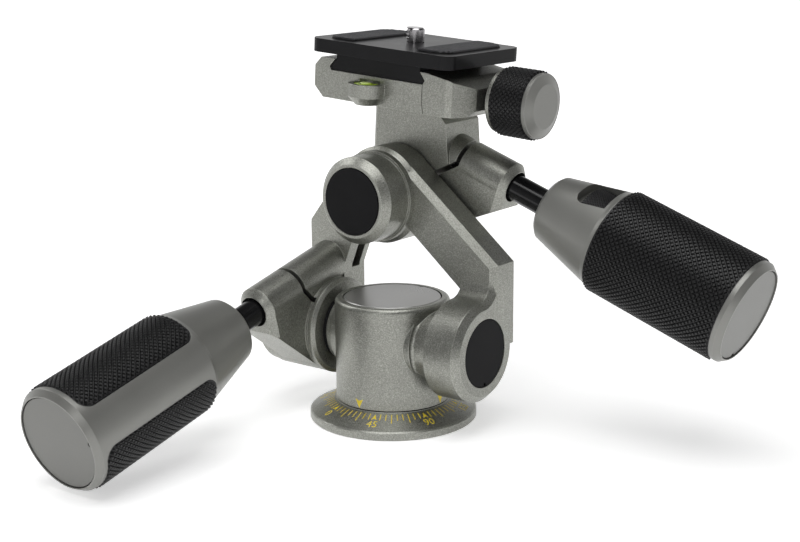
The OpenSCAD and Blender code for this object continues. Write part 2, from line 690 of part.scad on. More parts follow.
// Handles: rod, hollow core, two rubber panels, end cap and locking wheel
core_l = cone_l + grip_l;
wheel_z = cone_l - wheel_w - 1.9;
window_corner = 4;
panel_start = cone_l + 0.6;
panel_end = core_l - 3.6;
panel_corner = 5;
wheel_in = rod_r + 0.4;
rod_in_grip = 64;

module handle_frame(k) {
    if (k == 1) on_front_clamp() on_handle(front_drop, front_across) rotate([0, 0, front_roll]) children();
    if (k == 2) on_side_clamp() on_handle(side_drop, side_across) rotate([0, 0, side_roll]) children();
}
function handle_z(k) = k == 1 ? front_reach + front_rod_show : side_reach + side_rod_show;

module rod(k) color("#1b1b1c") handle_frame(k) {
    taper(rod_r - 0.8, rod_r, rod_back, rod_back + 0.8);
    bar(rod_r, rod_back + 0.8, handle_z(k) + rod_in_grip);
}

// The rubber covers all of the grip but a bare spine, which lies along minus y
module rubber_ring() difference() {
    bar(grip_r, panel_start, panel_end);
    bar(grip_r - rubber_t, panel_start - 1, panel_end + 1);
    along_z(panel_start - 2, panel_end + 2) polygon([
        [0, 0], 2 * grip_r * [-sin(spine_deg / 2), -cos(spine_deg / 2)],
        [0, -3 * grip_r], 2 * grip_r * [sin(spine_deg / 2), -cos(spine_deg / 2)]]);
    for (corner = [[1, panel_start, 0], [1, panel_end, -90], [-1, panel_start, 90], [-1, panel_end, 180]])
        rotate([0, 0, corner[0] * spine_deg / 2 - 90]) translate([0, 0, corner[1]])
            rotate([0, 90, 0]) rotate([0, 0, corner[2]]) corner_cut();
}

// Outside of a quarter round at the origin corner, in minus x and plus y
module corner_cut() difference() {
    block(-panel_corner, 1, -1, panel_corner, grip_r - rubber_t - 2, grip_r + 3);
    translate([blend - panel_corner, panel_corner - blend, 0])
        cylinder(r = panel_corner, h = grip_r + 6, $fn = 32);
}

module grip_core(k) color(grey) handle_frame(k) translate([0, 0, handle_z(k)]) difference() {
    rotate_extrude($fn = 96) polygon([[rod_r + turn_fit, 0], [grip_small_r - 1.2, 0], [grip_small_r, 1.2],
        [grip_r - 0.6, cone_l - 1], [grip_r, cone_l + 0.4], [grip_r, core_l - 2], [grip_r - 1.6, core_l],
        [end_cap_r + seam, core_l], [end_cap_r + seam, core_l - 2], [10, core_l - 2], [10, cone_l + 24],
        [rod_r + turn_fit, cone_l + 24]]);
    rubber_ring();
    bar(wheel_r + face_gap, wheel_z - face_gap, wheel_z + wheel_w + face_gap);
    wheel_window();
}

// Window over the wheel, cut straight in along y, with round corners at its small end
module wheel_window() {
    end = wheel_z + wheel_w;
    low = wheel_z - 2.9;
    side = window_w / 2;
    translate([0, grip_r + 3, 0]) rotate([90, 0, 0]) linear_extrude(grip_r - 7.5) polygon(concat(
        [[-side, end], [-side, low + window_corner]],
        [for (a = [15 : 15 : 75]) [window_corner * (1 - cos(a)) - side, low + window_corner * (1 - sin(a))]],
        [[window_corner - side, low], [side - window_corner, low]],
        [for (a = [75 : -15 : 15]) [side - window_corner * (1 - cos(a)), low + window_corner * (1 - sin(a))]],
        [[side, low + window_corner], [side, end]]));
}

module rubber_panel(k, side) color(rubber) handle_frame(k) translate([0, 0, handle_z(k)]) intersection() {
    rubber_ring();
    mirror([side, 0, 0]) block(0, grip_r + 1, -grip_r - 1, grip_r + 1, panel_start - 1, panel_end + 1);
}

module grip_cap(k) color(grey) handle_frame(k) translate([0, 0, handle_z(k)]) difference() {
    bar(end_cap_r, core_l - 2, core_l - 0.4);
    rotate([0, 0, -100]) translate([end_cap_r, 0, core_l - 1]) cylinder(r = 0.9, h = 2, $fn = 24);
}

module wheel(k) color(rubber) handle_frame(k) translate([0, 0, handle_z(k)]) difference() {
    bar(wheel_r, wheel_z, wheel_z + wheel_w);
    bar(wheel_in, wheel_z - 1, wheel_z + wheel_w + 1);
}

module rod_1() rod(1);
module grip_core_1() grip_core(1);
module rubber_1a() rubber_panel(1, 1);
module rubber_1b() rubber_panel(1, 0);
module grip_cap_1() grip_cap(1);
module wheel_1() wheel(1);
module rod_2() rod(2);
module grip_core_2() grip_core(2);
module rubber_2a() rubber_panel(2, 1);
module rubber_2b() rubber_panel(2, 0);
module grip_cap_2() grip_cap(2);
module wheel_2() wheel(2);

base_flange();
thread_insert();
pan_spindle();
friction_washer();
pan_housing();
top_cover();
tilt_drum();
tilt_pin();
neck_seal();
pan_lock_stud();
pan_lock_grip();
pan_lock_cap();
right_arm();
left_bracket();
hub_collar();
hub_cap();
arm_cap();
side_drum();
left_end_cap();
yoke_screws();
platform_casting();
ring_cap();
clamp_base();
level_vial();
clamp_screws();
guide_pins();
moving_jaw();
clamp_stud();
knob_flange();
knob_grip();
knob_cap();
camera_plate();
pad_left();
pad_right();
camera_screw();
screw_clip();
rod_1();
grip_core_1();
rubber_1a();
rubber_1b();
grip_cap_1();
wheel_1();
rod_2();
grip_core_2();
rubber_2a();
rubber_2b();
grip_cap_2();
wheel_2();
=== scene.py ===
"""Dress a three way pan and tilt head: paint, knurled rubber, pan scale, screw thread and studio."""
import json
import math

import bmesh
import bpy
from bpy.props import FloatProperty, FloatVectorProperty, PointerProperty
from mathutils import Matrix, Vector


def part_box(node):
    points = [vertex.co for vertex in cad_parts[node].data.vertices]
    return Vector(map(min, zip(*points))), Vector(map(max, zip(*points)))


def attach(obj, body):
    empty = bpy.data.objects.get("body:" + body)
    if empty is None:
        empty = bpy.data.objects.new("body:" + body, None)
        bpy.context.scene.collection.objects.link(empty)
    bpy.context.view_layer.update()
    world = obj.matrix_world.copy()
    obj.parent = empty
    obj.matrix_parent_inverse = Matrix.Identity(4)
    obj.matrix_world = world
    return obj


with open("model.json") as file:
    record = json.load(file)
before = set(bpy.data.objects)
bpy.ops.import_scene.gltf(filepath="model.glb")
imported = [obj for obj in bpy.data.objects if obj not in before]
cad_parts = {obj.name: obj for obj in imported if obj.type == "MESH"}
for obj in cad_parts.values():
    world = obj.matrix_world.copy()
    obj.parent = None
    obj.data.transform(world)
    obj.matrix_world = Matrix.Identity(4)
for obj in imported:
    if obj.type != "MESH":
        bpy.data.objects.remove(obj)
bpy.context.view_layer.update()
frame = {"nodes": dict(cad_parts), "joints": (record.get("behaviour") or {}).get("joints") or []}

bl_info = {
    "name": "Pan and Tilt Head Looks",
    "version": (1, 0, 0),
    "blender": (4, 5, 0),
    "location": "View3D > Sidebar > Tilt Head",
    "description": "Finishes, knurling, scale and screw thread for a three way tilt head",
    "category": "Object",
}

MM = 0.001
JOINTS = {joint["name"]: joint for joint in frame["joints"]}

# Places on the solids, in millimetres and degrees
BASE_RADIUS, RIM_TOP = 29.5, 3.2
HOUSING_RADIUS, CONE_TOP = 20.5, 7.0
SCALE_ZERO = -114.0
POINTERS = (-88.0, 1.5)
GRIP_RADIUS, SPINE = 18.0, 45.0
PANEL_START, PANEL_END, PANEL_CORNER = 26.1, 75.4, 5.0
WHEEL_RADIUS, WHEEL_START, WHEEL_END = 13.6, 14.1, 23.6
WHEEL_JOINT = 21.0
HUB = Vector((-10.3, 0.0, 78.3)) * MM
LEAN = 4.0
PLATE_TOP = 131.6

# Knobs that are knurled: name, body, joint, CAD node, radius, start and end of the knurling, x direction
KNOBS = (
    ("clamp_knob_knurl", "clamp_knob", "knob_turn", "knob_grip", 11.5, 0.3, 12.7, (0, 1, 0)),
    ("pan_lock_knurl", "pan_lock", "pan_lock_turn", "pan_lock_grip", 8.5, 0.2, 6.3, (1, 0, 0)),
)

# Handles: the x direction and the roll of the grip, in degrees
HANDLES = {"front": ((1, 0, 0), 111), "side": ((0, 1, 0), 13)}

# Detail that scene.py adds, in millimetres
EDGE_WIDTH = 0.3
SLEEVE_MARGIN, SLEEVE_LIFT, SLEEVE_SKIRT = 0.45, 0.03, 0.3
BAND_LIFT, WHEEL_KNURL_RISE, KNOB_KNURL_RISE = 0.01, 0.26, 0.5
RIB_MARGIN, RIB_LIFT, RIB_RISE, RIB_SKIRT, RIB_CORNER = 0.4, 0.02, 0.45, 0.2, 5.6
THREAD_ROOT, THREAD_CREST, THREAD_PITCH = 2.45, 3.1, 1.27
THREAD_START, THREAD_END = 0.4, 5.2
TICK_START, SHORT_TICK, LONG_TICK, NUMERAL_FOOT = 0.85, 3.9, 5.3, 7.5
MARK_SHAPE = ((0, 1.0), (1.0, 3.9), (0, 3.1), (-1.0, 3.9))
POINTER_SHAPE = ((-1.6, 11.1), (0, 7.7), (1.6, 11.1), (0, 10.45))
INK_LIFT, INK_DEPTH = 0.03, 0.025
POINTER_LIFT, POINTER_DEPTH = 0.04, 0.03
BUBBLE_RADIUS, BUBBLE_PLACE = 2.0, (-0.9, 0.3, -0.12)

# Shares of a knurl's pitch, of the font's width and a numeral's height, and of the bubble's height
KNURL_GROOVE, KNURL_FLANK = 0.07, 0.1984
NUMERAL_NARROW, FONT_PER_HEIGHT = 0.92, 1.42
BUBBLE_FLATNESS = 0.2

# Directions of the cuts that round a flat corner, in degrees
CORNER_TURNS = (15, 30, 45, 60, 75)

# Soft lamps: name, place in metres, side in metres, watts
LAMPS = (
    ("top", (0.1, -0.2, 1.0), 0.8, 6.0),
    ("front", (0.32, -1.15, 0.45), 0.4, 1.5),
    ("left", (-0.9, -0.1, 0.8), 0.5, 2.6),
)
LAMP_AIM = (0.01, 0, 0.07)
FLOOR_REACH = 6.0
BACKDROP = (-0.609, 0.793, 0)

# Camera fitted to the photograph: degrees, pixels and millimetres
AZIMUTH, ELEVATION, ROLL = 37.49, 13.46, -0.53
FOCAL_PIXELS, IMAGE_WIDTH = 1500, 800
CAMERA_AIM, CAMERA_RANGE, CAMERA_SHIFT = (0, 0, 70), 527.5, (2.96, -16.5)


# Values on material sockets


class Val:
    """A number in a material's nodes; arithmetic on it adds Math nodes."""

    def __init__(self, tree, socket):
        self.tree, self.socket = tree, socket

    def calc(self, operation, *values, clamp=False):
        node = self.tree.nodes.new("ShaderNodeMath")
        node.operation, node.use_clamp = operation, clamp
        for socket, value in zip(node.inputs, values):
            feed(self.tree, socket, value)
        return Val(self.tree, node.outputs[0])

    def __add__(self, other): return self.calc("ADD", self, other)
    def __radd__(self, other): return self.calc("ADD", other, self)
    def __sub__(self, other): return self.calc("SUBTRACT", self, other)
    def __rsub__(self, other): return self.calc("SUBTRACT", other, self)
    def __mul__(self, other): return self.calc("MULTIPLY", self, other)
    def __rmul__(self, other): return self.calc("MULTIPLY", other, self)
    def __truediv__(self, other): return self.calc("DIVIDE", self, other)

    def between(self, low, high):
        """0 below low, 1 above high, and straight between them."""
        return self.calc("MULTIPLY", self - low, 1 / (high - low), clamp=True)


def feed(tree, socket, value):
    """Link a Val to a socket, or set the socket to a plain value."""
    if isinstance(value, Val):
        tree.links.new(value.socket, socket)
    elif hasattr(value, "__len__") and len(value) == 3 and socket.type == "RGBA":
        socket.default_value = (*value, 1)
    else:
        socket.default_value = value


class Nodes:
    """A node tree and the one way to add nodes to it."""

    def __init__(self, tree):
        self.tree = tree

    def node(self, kind, settings=None, out=0, **sockets):
        """Add a node of a kind: settings first, then what its sockets get, by name or as i and a number."""
        node = self.tree.nodes.new("ShaderNode" + kind)
        for name, value in (settings or {}).items():
            setattr(node, name, value)
        for name, value in sockets.items():
            numbered = name[0] == "i" and name[1:].isdigit()
            feed(self.tree, node.inputs[int(name[1:]) if numbered else name], value)
        return Val(self.tree, node.outputs[out])


class Finish(Nodes):
    """A procedural material on one Principled shader, built in object space."""

    def __init__(self, name, **constants):
        self.material = bpy.data.materials.new(name)
        self.material.use_nodes = True
        super().__init__(self.material.node_tree)
        self.shader = self.tree.nodes["Principled BSDF"]
        for socket, value in constants.items():
            feed(self.tree, self.shader.inputs[socket.replace("_", " ")], value)
        self.place = self.node("TexCoord", out="Object")

    def noise(self, size, detail=2.0, roughness=0.5):
        """Smooth noise whose grain is about size millimetres."""
        return self.node("TexNoise", Vector=self.place, Scale=1 / (size * MM), Detail=detail,
            Roughness=roughness)

    def cells(self, size):
        """A random level for each cell of about size millimetres."""
        colour = self.node("TexVoronoi", Vector=self.place, Scale=1 / (size * MM), out="Color")
        return self.node("SeparateColor", i0=colour)

    def mix(self, low, high, share):
        """A colour between low and high."""
        return self.node("Mix", {"data_type": "RGBA"}, out=2, i0=share, i6=low, i7=high)

    def facing(self):
        """World normal softened over edges, and how much it turned from the true one."""
        soft = self.node("Bevel", {"samples": 4}, Radius=EDGE_WIDTH * MM)
        true = self.node("NewGeometry", out="Normal")
        turn = self.node("VectorMath", {"operation": "DOT_PRODUCT"}, out="Value", i0=soft, i1=true)
        return soft, (1 - turn).between(0.01, 0.12)

    def finish(self, colour, roughness=None, height=None, depth=0.02, normal=None, **more):
        """Wire the worked-out channels to the shader."""
        inputs = self.shader.inputs
        feed(self.tree, inputs["Base Color"], colour)
        if roughness is not None:
            feed(self.tree, inputs["Roughness"], roughness)
        for name, value in more.items():
            feed(self.tree, inputs[name.replace("_", " ")], value)
        if height is not None:
            extra = {"Normal": normal} if normal else {}
            normal = self.node("Bump", Height=height, Distance=depth * MM, Strength=1.0, **extra)
        if normal is not None:
            feed(self.tree, inputs["Normal"], normal)
        return self.material


def shade(colour, factor):
    """The colour made lighter or darker."""
    return tuple(min(1.0, c * factor) for c in colour)


# Finishes


def speckled_paint(name, colour, spread=0.3, rough=0.38):
    """Metallic paint on a sand-blasted casting: fine bright flakes, soft cloudiness, and edges lightened as
    wear and as a painted highlight.
    """
    f = Finish(name, Metallic=0.92)
    soft, edge = f.facing()
    grain, cloud = f.noise(0.42, 2.0, 0.6), f.noise(14)
    flake = f.cells(0.3).between(0.6, 1.0)
    level = 0.42 + (grain - 0.5) * 1.1 + (cloud - 0.5) * 0.3 + flake * spread
    base = f.mix(shade(colour, 0.5), shade(colour, 1.6), level.between(0.0, 1.0))
    # Edges lightened: partly wear, partly a painted highlight where chamfers catch the light.
    edge_wear_and_highlight = f.mix(base, shade(colour, 1.9), edge * 0.7)
    return f.finish(edge_wear_and_highlight, rough + (grain - 0.5) * 0.2 - flake * 0.1, grain + flake * 0.5, 0.045, soft)


def smooth_shell(name, colour, metallic=0.5, rough=0.36):
    """Satin moulded shell with a fine even grain, a little handling gloss, and edges lightened as wear and
    as a painted highlight.
    """
    f = Finish(name, Metallic=metallic)
    soft, edge = f.facing()
    grain, cloud = f.noise(0.3, 2.0), f.noise(22)
    level = (0.5 + (cloud - 0.5) * 0.9 + (grain - 0.5) * 0.4).between(0, 1)
    base = f.mix(shade(colour, 0.9), shade(colour, 1.1), level)
    # Edges lightened: partly wear, partly a painted highlight.
    edge_wear_and_highlight = f.mix(base, shade(colour, 1.5), edge * 0.5)
    return f.finish(edge_wear_and_highlight, rough + (cloud - 0.5) * 0.12 + (grain - 0.5) * 0.08, grain, 0.008, soft)


def rubber(name, colour, rough=0.46):
    """Moulded rubber: matt, slightly dusty on top, with a pitted skin."""
    f = Finish(name, Specular_IOR_Level=0.5)
    grain, dust = f.noise(0.25, 3.0), f.noise(6, 4.0)
    level = (dust * 0.7 + grain * 0.3).between(0.3, 0.75)
    base = f.mix(shade(colour, 0.75), shade(colour, 1.5), level)
    return f.finish(base, rough + (grain - 0.5) * 0.2 - (dust - 0.5) * 0.1, grain, 0.02)


def black_metal(name, colour, rough, gloss):
    """Black anodised or painted metal with fine grain, paler along its edges as wear and as a painted
    highlight.
    """
    f = Finish(name, Specular_IOR_Level=0.07, Coat_Roughness=0.15)
    soft, edge = f.facing()
    grain, cloud = f.noise(0.22, 2.0), f.noise(10)
    level = (grain * 0.5 + cloud * 0.5).between(0.3, 0.7)
    base = f.mix(shade(colour, 0.85), shade(colour, 1.3), level)
    # Paler edges: partly wear, partly a painted highlight.
    edge_wear_and_highlight = f.mix(base, shade(colour, 4.0), edge * 0.35)
    roughness = rough + (cloud - 0.5) * 0.08 + (grain - 0.5) * 0.08
    return f.finish(edge_wear_and_highlight, roughness, grain, 0.006, soft, Coat_Weight=gloss)


def bare_metal(name, colour, rough):
    """Turned or plated metal with a faint fine grain and small worn patches."""
    f = Finish(name, Metallic=1.0)
    soft, _ = f.facing()
    grain, wear = f.noise(0.12, 2.0), f.noise(2.5, 4.0)
    level = (grain * 0.4 + wear * 0.6).between(0.3, 0.7)
    base = f.mix(shade(colour, 0.8), shade(colour, 1.15), level)
    return f.finish(base, rough + (wear - 0.5) * 0.15, grain, 0.004, soft)


def print_ink(name, colour):
    """Pad-printed ink, a little uneven in strength."""
    f = Finish(name)
    cover = f.noise(0.4, 3.0)
    base = f.mix(shade(colour, 0.8), colour, cover.between(0.35, 0.6))
    return f.finish(base, 0.5 + (cover - 0.5) * 0.2, cover, 0.004)


def level_liquid(name, colour, centre):
    """Spirit level seen from above: bright liquid, a dark target ring and a dark rim."""
    f = Finish(name, Coat_Weight=0.8, Coat_Roughness=0.03)
    along = f.node("VectorMath", {"operation": "DISTANCE"}, out="Value", i0=f.place, i1=tuple(centre)) / MM
    swirl = f.noise(1.5)
    base = f.mix(shade(colour, 0.55), shade(colour, 1.15), (swirl + 0.4 - along * 0.09).between(0.1, 0.8))
    ring = along.between(2.35, 2.45) * (1 - along.between(2.7, 2.8))
    for dark in (ring, along.between(4.35, 4.5)):
        base = f.mix(base, (0.02, 0.03, 0.01), dark)
    return f.finish(base, 0.12 + swirl * 0.05, swirl, 0.01)


def floor_paper(name, level, glow):
    """White paper that glows, and is plain white far out, so that only the object's shadow shows on it."""
    f = Finish(name, Roughness=0.9, Specular_IOR_Level=0.1)
    fibre = f.noise(3.0, 3.0)
    paper = f.mix(shade(level, 0.99), level, fibre.between(0.3, 0.7))
    feed(f.tree, f.shader.inputs["Emission Strength"], 1.0)
    far = f.node("VectorMath", {"operation": "LENGTH"}, out="Value", i0=f.place).between(0.25, 0.7)
    seen = f.node("LightPath", out="Is Camera Ray")
    shine = f.mix((glow, glow, glow), (1, 1, 1), far * seen)
    return f.finish(paper, 0.9, Emission_Color=shine)


# Mesh helpers


def piece(name, mesh, material, body, smooth=False):
    """Scale a bmesh from millimetres to metres and hang it on its CAD body."""
    data = bpy.data.meshes.new(name)
    bmesh.ops.scale(mesh, vec=(MM, MM, MM), verts=mesh.verts)
    for face in mesh.faces:
        face.smooth = smooth
    mesh.to_mesh(data)
    mesh.free()
    data.materials.append(material)
    made = bpy.data.objects.new(name, data)
    bpy.context.scene.collection.objects.link(made)
    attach(made, body)
    return made


def trim(mesh, point, outward):
    """Cut away what lies beyond a plane."""
    bmesh.ops.bisect_plane(mesh, geom=mesh.verts[:] + mesh.edges[:] + mesh.faces[:], dist=1e-5,
        plane_co=point, plane_no=outward, clear_outer=True)


def round_corner(mesh, centre, radius, x, y):
    """Cut a flat sheet's corner, on the side that x and y point to, round a centre."""
    for turn in CORNER_TURNS:
        away = Vector((x * math.cos(math.radians(turn)), y * math.sin(math.radians(turn)), 0))
        trim(mesh, Vector(centre) + away * radius, away)


def print_face(mesh, points, outward):
    """Add one face of ink through the points, turned to face outward."""
    face = mesh.faces.new([mesh.verts.new(point) for point in points])
    turn_outward(face, outward)


def turn_outward(face, outward):
    """Flip a face whose normal points against outward."""
    face.normal_update()
    if face.normal.dot(outward) < 0:
        face.normal_flip()


def knurled_sheet(length, width, pitch, rise, corner=0.0):
    """Flat field of diamond knurling, length along x and width along y, centred on x."""
    mesh = bmesh.new()
    reach = (length + width) / 2 + 2 * pitch
    count = 2 * math.ceil(reach / pitch)
    bmesh.ops.create_grid(mesh, x_segments=count, y_segments=count, size=count * pitch / math.sqrt(2) / 2)
    bmesh.ops.rotate(mesh, verts=mesh.verts, matrix=Matrix.Rotation(math.radians(45), 3, "Z"))
    bmesh.ops.translate(mesh, verts=mesh.verts, vec=(0, width / 2, 0))
    beyond = [vert for vert in mesh.verts
        if abs(vert.co.x) > length / 2 + pitch or abs(vert.co.y - width / 2) > width / 2 + pitch]
    bmesh.ops.delete(mesh, geom=beyond, context="VERTS")
    tops = mesh.faces[:]
    bmesh.ops.inset_individual(mesh, faces=tops, thickness=KNURL_GROOVE * pitch)
    bmesh.ops.inset_individual(mesh, faces=tops, thickness=KNURL_FLANK * pitch, depth=rise)
    for x in (-1, 1):
        trim(mesh, (x * length / 2, 0, 0), (x, 0, 0))
    for y, side in ((0, -1), (width, 1)):
        trim(mesh, (0, y, 0), (0, side, 0))
        for x in (-1, 1) if corner else ():
            round_corner(mesh, (x * (length / 2 - corner), y - side * corner, 0), corner, x, side)
    return mesh


def skirt(mesh, drop):
    """Turn the open rim of a raised sheet down by drop, so that it ends under the surface."""
    rim = [edge for edge in mesh.edges if edge.is_boundary]
    new = bmesh.ops.extrude_edge_only(mesh, edges=rim)["geom"]
    for vert in (v for v in new if isinstance(v, bmesh.types.BMVert)):
        vert.co.z = -drop


def wrap(mesh, radius):
    """Bend a flat sheet round the z axis, its middle towards y: x is the arc, y the height, z the radius."""
    for vert in mesh.verts:
        angle = math.pi / 2 + vert.co.x / radius
        out = radius + vert.co.z
        vert.co = (out * math.cos(angle), out * math.sin(angle), vert.co.y)
    bmesh.ops.remove_doubles(mesh, verts=mesh.verts, dist=2e-4)
    bmesh.ops.recalc_face_normals(mesh, faces=mesh.faces)


def knurled_band(radius, low, high, pitch, rise):
    """Knurling all the way round the z axis, with a whole number of knurls about a pitch apart."""
    arc = 2 * math.pi * radius
    band = knurled_sheet(arc, high - low, arc / round(arc / pitch), rise)
    bmesh.ops.translate(band, verts=band.verts, vec=(0, low, BAND_LIFT))
    wrap(band, radius)
    return band


def set_at(mesh, matrix):
    """Move a mesh made in millimetres by a matrix whose place is in metres."""
    placed = matrix.copy()
    placed.translation = matrix.translation / MM
    bmesh.ops.transform(mesh, matrix=placed, verts=mesh.verts)


def axes(x, y, z, origin):
    """Matrix with these unit axes and this origin."""
    made = Matrix((x, y, z)).transposed().to_4x4()
    made.translation = origin
    return made


def handle_matrix(joint, across, roll):
    """Frame of a grip: z outward along the handle, from the small end of its cone."""
    z = Vector(JOINTS[joint]["axis"]).normalized()
    x = Vector(across)
    start = Vector(JOINTS[joint]["pos_m"]) - WHEEL_JOINT * MM * z
    return axes(x, z.cross(x), z, start) @ Matrix.Rotation(math.radians(roll), 4, "Z")


def platform_matrix():
    """Frame of the leaning platform, in which places are those of the level head."""
    turn = Matrix.Rotation(math.radians(LEAN), 4, "Y")
    return Matrix.Translation(HUB) @ turn @ Matrix.Translation(-HUB)


# Settings


class HeadSizes(bpy.types.PropertyGroup):
    """Sizes of the moulded and printed detail."""
    knurl: FloatProperty(name="Grip Knurl", description="Distance between knurls along a grip",
        default=2.0 * MM, min=1.2 * MM, max=4.0 * MM, unit="LENGTH")
    knurl_rise: FloatProperty(name="Knurl Height", description="Height of the grips' knurls",
        default=0.6 * MM, min=0.2 * MM, max=0.9 * MM, unit="LENGTH")
    knob_knurl: FloatProperty(name="Knob Knurl", description="Distance between knurls on the knobs",
        default=1.85 * MM, min=1.0 * MM, max=3.0 * MM, unit="LENGTH")
    wheel_knurl: FloatProperty(name="Wheel Knurl", description="Distance between knurls on a locking wheel",
        default=1.1 * MM, min=0.8 * MM, max=2.0 * MM, unit="LENGTH")
    rib: FloatProperty(name="Pad Rib", description="Distance between the plate pads' ribs",
        default=1.3 * MM, min=0.5 * MM, max=2.0 * MM, unit="LENGTH")
    tick: FloatProperty(name="Tick Width", description="Width of the scale's ticks",
        default=0.32 * MM, min=0.1 * MM, max=0.6 * MM, unit="LENGTH")
    numeral: FloatProperty(name="Numeral Height", description="Height of the scale's numerals",
        default=3.1 * MM, min=2.0 * MM, max=4.0 * MM, unit="LENGTH")


class HeadColours(bpy.types.PropertyGroup):
    """Colours of the head's finishes."""
    paint: FloatVectorProperty(name="Casting Paint", description="Metallic paint on the castings",
        subtype="COLOR", default=(0.30, 0.303, 0.275), min=0, max=1)
    cover: FloatVectorProperty(name="Top Cover", description="Smooth cover on the pan housing",
        subtype="COLOR", default=(0.36, 0.357, 0.35), min=0, max=1)
    shell: FloatVectorProperty(name="Grip Shell", description="Smooth shell of the handles",
        subtype="COLOR", default=(0.25, 0.25, 0.235), min=0, max=1)
    rubber: FloatVectorProperty(name="Rubber", description="Knurled rubber and pads",
        subtype="COLOR", default=(0.005, 0.005, 0.0055), min=0, max=1)
    black: FloatVectorProperty(name="Black Metal", description="Camera plate and rods",
        subtype="COLOR", default=(0.007, 0.007, 0.0075), min=0, max=1)
    ink: FloatVectorProperty(name="Scale Ink", description="Printed ticks and numerals",
        subtype="COLOR", default=(0.95, 0.74, 0.05), min=0, max=1)
    liquid: FloatVectorProperty(name="Level Liquid", description="Liquid in the spirit level",
        subtype="COLOR", default=(0.55, 0.78, 0.04), min=0, max=1)
    steel: FloatVectorProperty(name="Steel", description="Shafts and screws",
        subtype="COLOR", default=(0.5, 0.49, 0.47), min=0, max=1)
    brass: FloatVectorProperty(name="Brass", description="Tripod thread",
        subtype="COLOR", default=(0.72, 0.55, 0.27), min=0, max=1)


# Operators


def dress(material, *nodes):
    """Give CAD nodes a finish in place of their plain colour."""
    for node in nodes:
        slots = frame["nodes"][node].data.materials
        slots.clear()
        slots.append(material)


class HEAD_OT_castings(bpy.types.Operator):
    """Paint the castings, the cover and the grips' shells"""
    bl_idname = "head.castings"
    bl_label = "Castings"

    def execute(self, context):
        colours = context.scene.head_colours
        dress(speckled_paint("casting_paint", colours.paint), "base_flange", "pan_housing", "tilt_drum",
            "right_arm", "left_bracket", "hub_collar", "left_end_cap", "platform_casting", "clamp_base",
            "moving_jaw", "pan_lock_cap", "knob_flange")
        dress(smooth_shell("cover_paint", colours.cover, 0.8, 0.3), "top_cover")
        dress(smooth_shell("grip_shell", colours.shell), "grip_core_1", "grip_core_2", "knob_cap")
        # End caps: a darker copy of the grip shell, painted shade where the caps face the lamps.
        dress(smooth_shell("grip_end_painted_shade", shade(colours.shell, 0.7)), "grip_cap_1", "grip_cap_2")
        return {"FINISHED"}


class HEAD_OT_metalwork(bpy.types.Operator):
    """Finish the shafts, screws, rods, camera plate and black caps"""
    bl_idname = "head.metalwork"
    bl_label = "Metalwork"

    def execute(self, context):
        colours = context.scene.head_colours
        dress(bare_metal("steel", colours.steel, 0.32), "pan_spindle", "tilt_pin", "side_drum",
            "yoke_screws", "clamp_screws", "guide_pins", "pan_lock_stud", "screw_clip")
        dress(bare_metal("brass", colours.brass, 0.3), "thread_insert")
        dress(black_metal("rod_gloss", colours.black, 0.16, 0.6), "rod_1", "rod_2", "clamp_stud")
        dress(black_metal("plate_anodised", shade(colours.black, 1.3), 0.34, 0.15), "camera_plate")
        dress(black_metal("cap_black", shade(colours.black, 1.4), 0.48, 0.0), "hub_cap", "arm_cap",
            "ring_cap", "neck_seal", "friction_washer")
        dress(rubber("plain_rubber", colours.rubber), "rubber_1a", "rubber_1b", "rubber_2a", "rubber_2b",
            "knob_grip", "pan_lock_grip", "wheel_1", "wheel_2", "pad_left", "pad_right")
        return {"FINISHED"}


class HEAD_OT_grips(bpy.types.Operator):
    """Knurl the rubber sleeves and the locking wheels of both handles"""
    bl_idname = "head.grips"
    bl_label = "Handle Knurling"

    def execute(self, context):
        sizes, colours = context.scene.head_sizes, context.scene.head_colours
        skin = rubber("knurled_rubber", colours.rubber)
        wheel_skin = rubber("wheel_black", shade(colours.rubber, 2.2), 0.5)
        for which, (across, roll) in HANDLES.items():
            matrix = handle_matrix(which + "_wheel_turn", across, roll)
            arc = math.radians(360 - SPINE) * GRIP_RADIUS
            sleeve = knurled_sheet(arc - 2 * SLEEVE_MARGIN, PANEL_END - PANEL_START - 2 * SLEEVE_MARGIN,
                sizes.knurl / MM, sizes.knurl_rise / MM, PANEL_CORNER - SLEEVE_MARGIN)
            start = (0, PANEL_START + SLEEVE_MARGIN, SLEEVE_LIFT)
            bmesh.ops.translate(sleeve, verts=sleeve.verts, vec=start)
            skirt(sleeve, SLEEVE_SKIRT)
            wrap(sleeve, GRIP_RADIUS)
            set_at(sleeve, matrix)
            piece(which + "_sleeve_knurl", sleeve, skin, which + "_grip")
            wheel = knurled_band(WHEEL_RADIUS, WHEEL_START, WHEEL_END, sizes.wheel_knurl / MM,
                WHEEL_KNURL_RISE)
            set_at(wheel, matrix)
            piece(which + "_wheel_knurl", wheel, wheel_skin, which + "_wheel")
        return {"FINISHED"}


class HEAD_OT_knobs(bpy.types.Operator):
    """Knurl the plate clamp's knob and the pan lock knob"""
    bl_idname = "head.knobs"
    bl_label = "Knob Knurling"

    def execute(self, context):
        pitch = context.scene.head_sizes.knob_knurl / MM
        skin = rubber("knob_rubber", context.scene.head_colours.rubber)
        for name, body, joint, node, radius, low, high, across in KNOBS:
            z = Vector(JOINTS[joint]["axis"]).normalized()
            x = Vector(across)
            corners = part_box(node)
            start = (corners[0] + corners[1]) / 2 - z * (high + low) / 2 * MM
            band = knurled_band(radius, low, high, pitch, KNOB_KNURL_RISE)
            set_at(band, axes(x, z.cross(x), z, start))
            piece(name, band, skin, body)
        return {"FINISHED"}


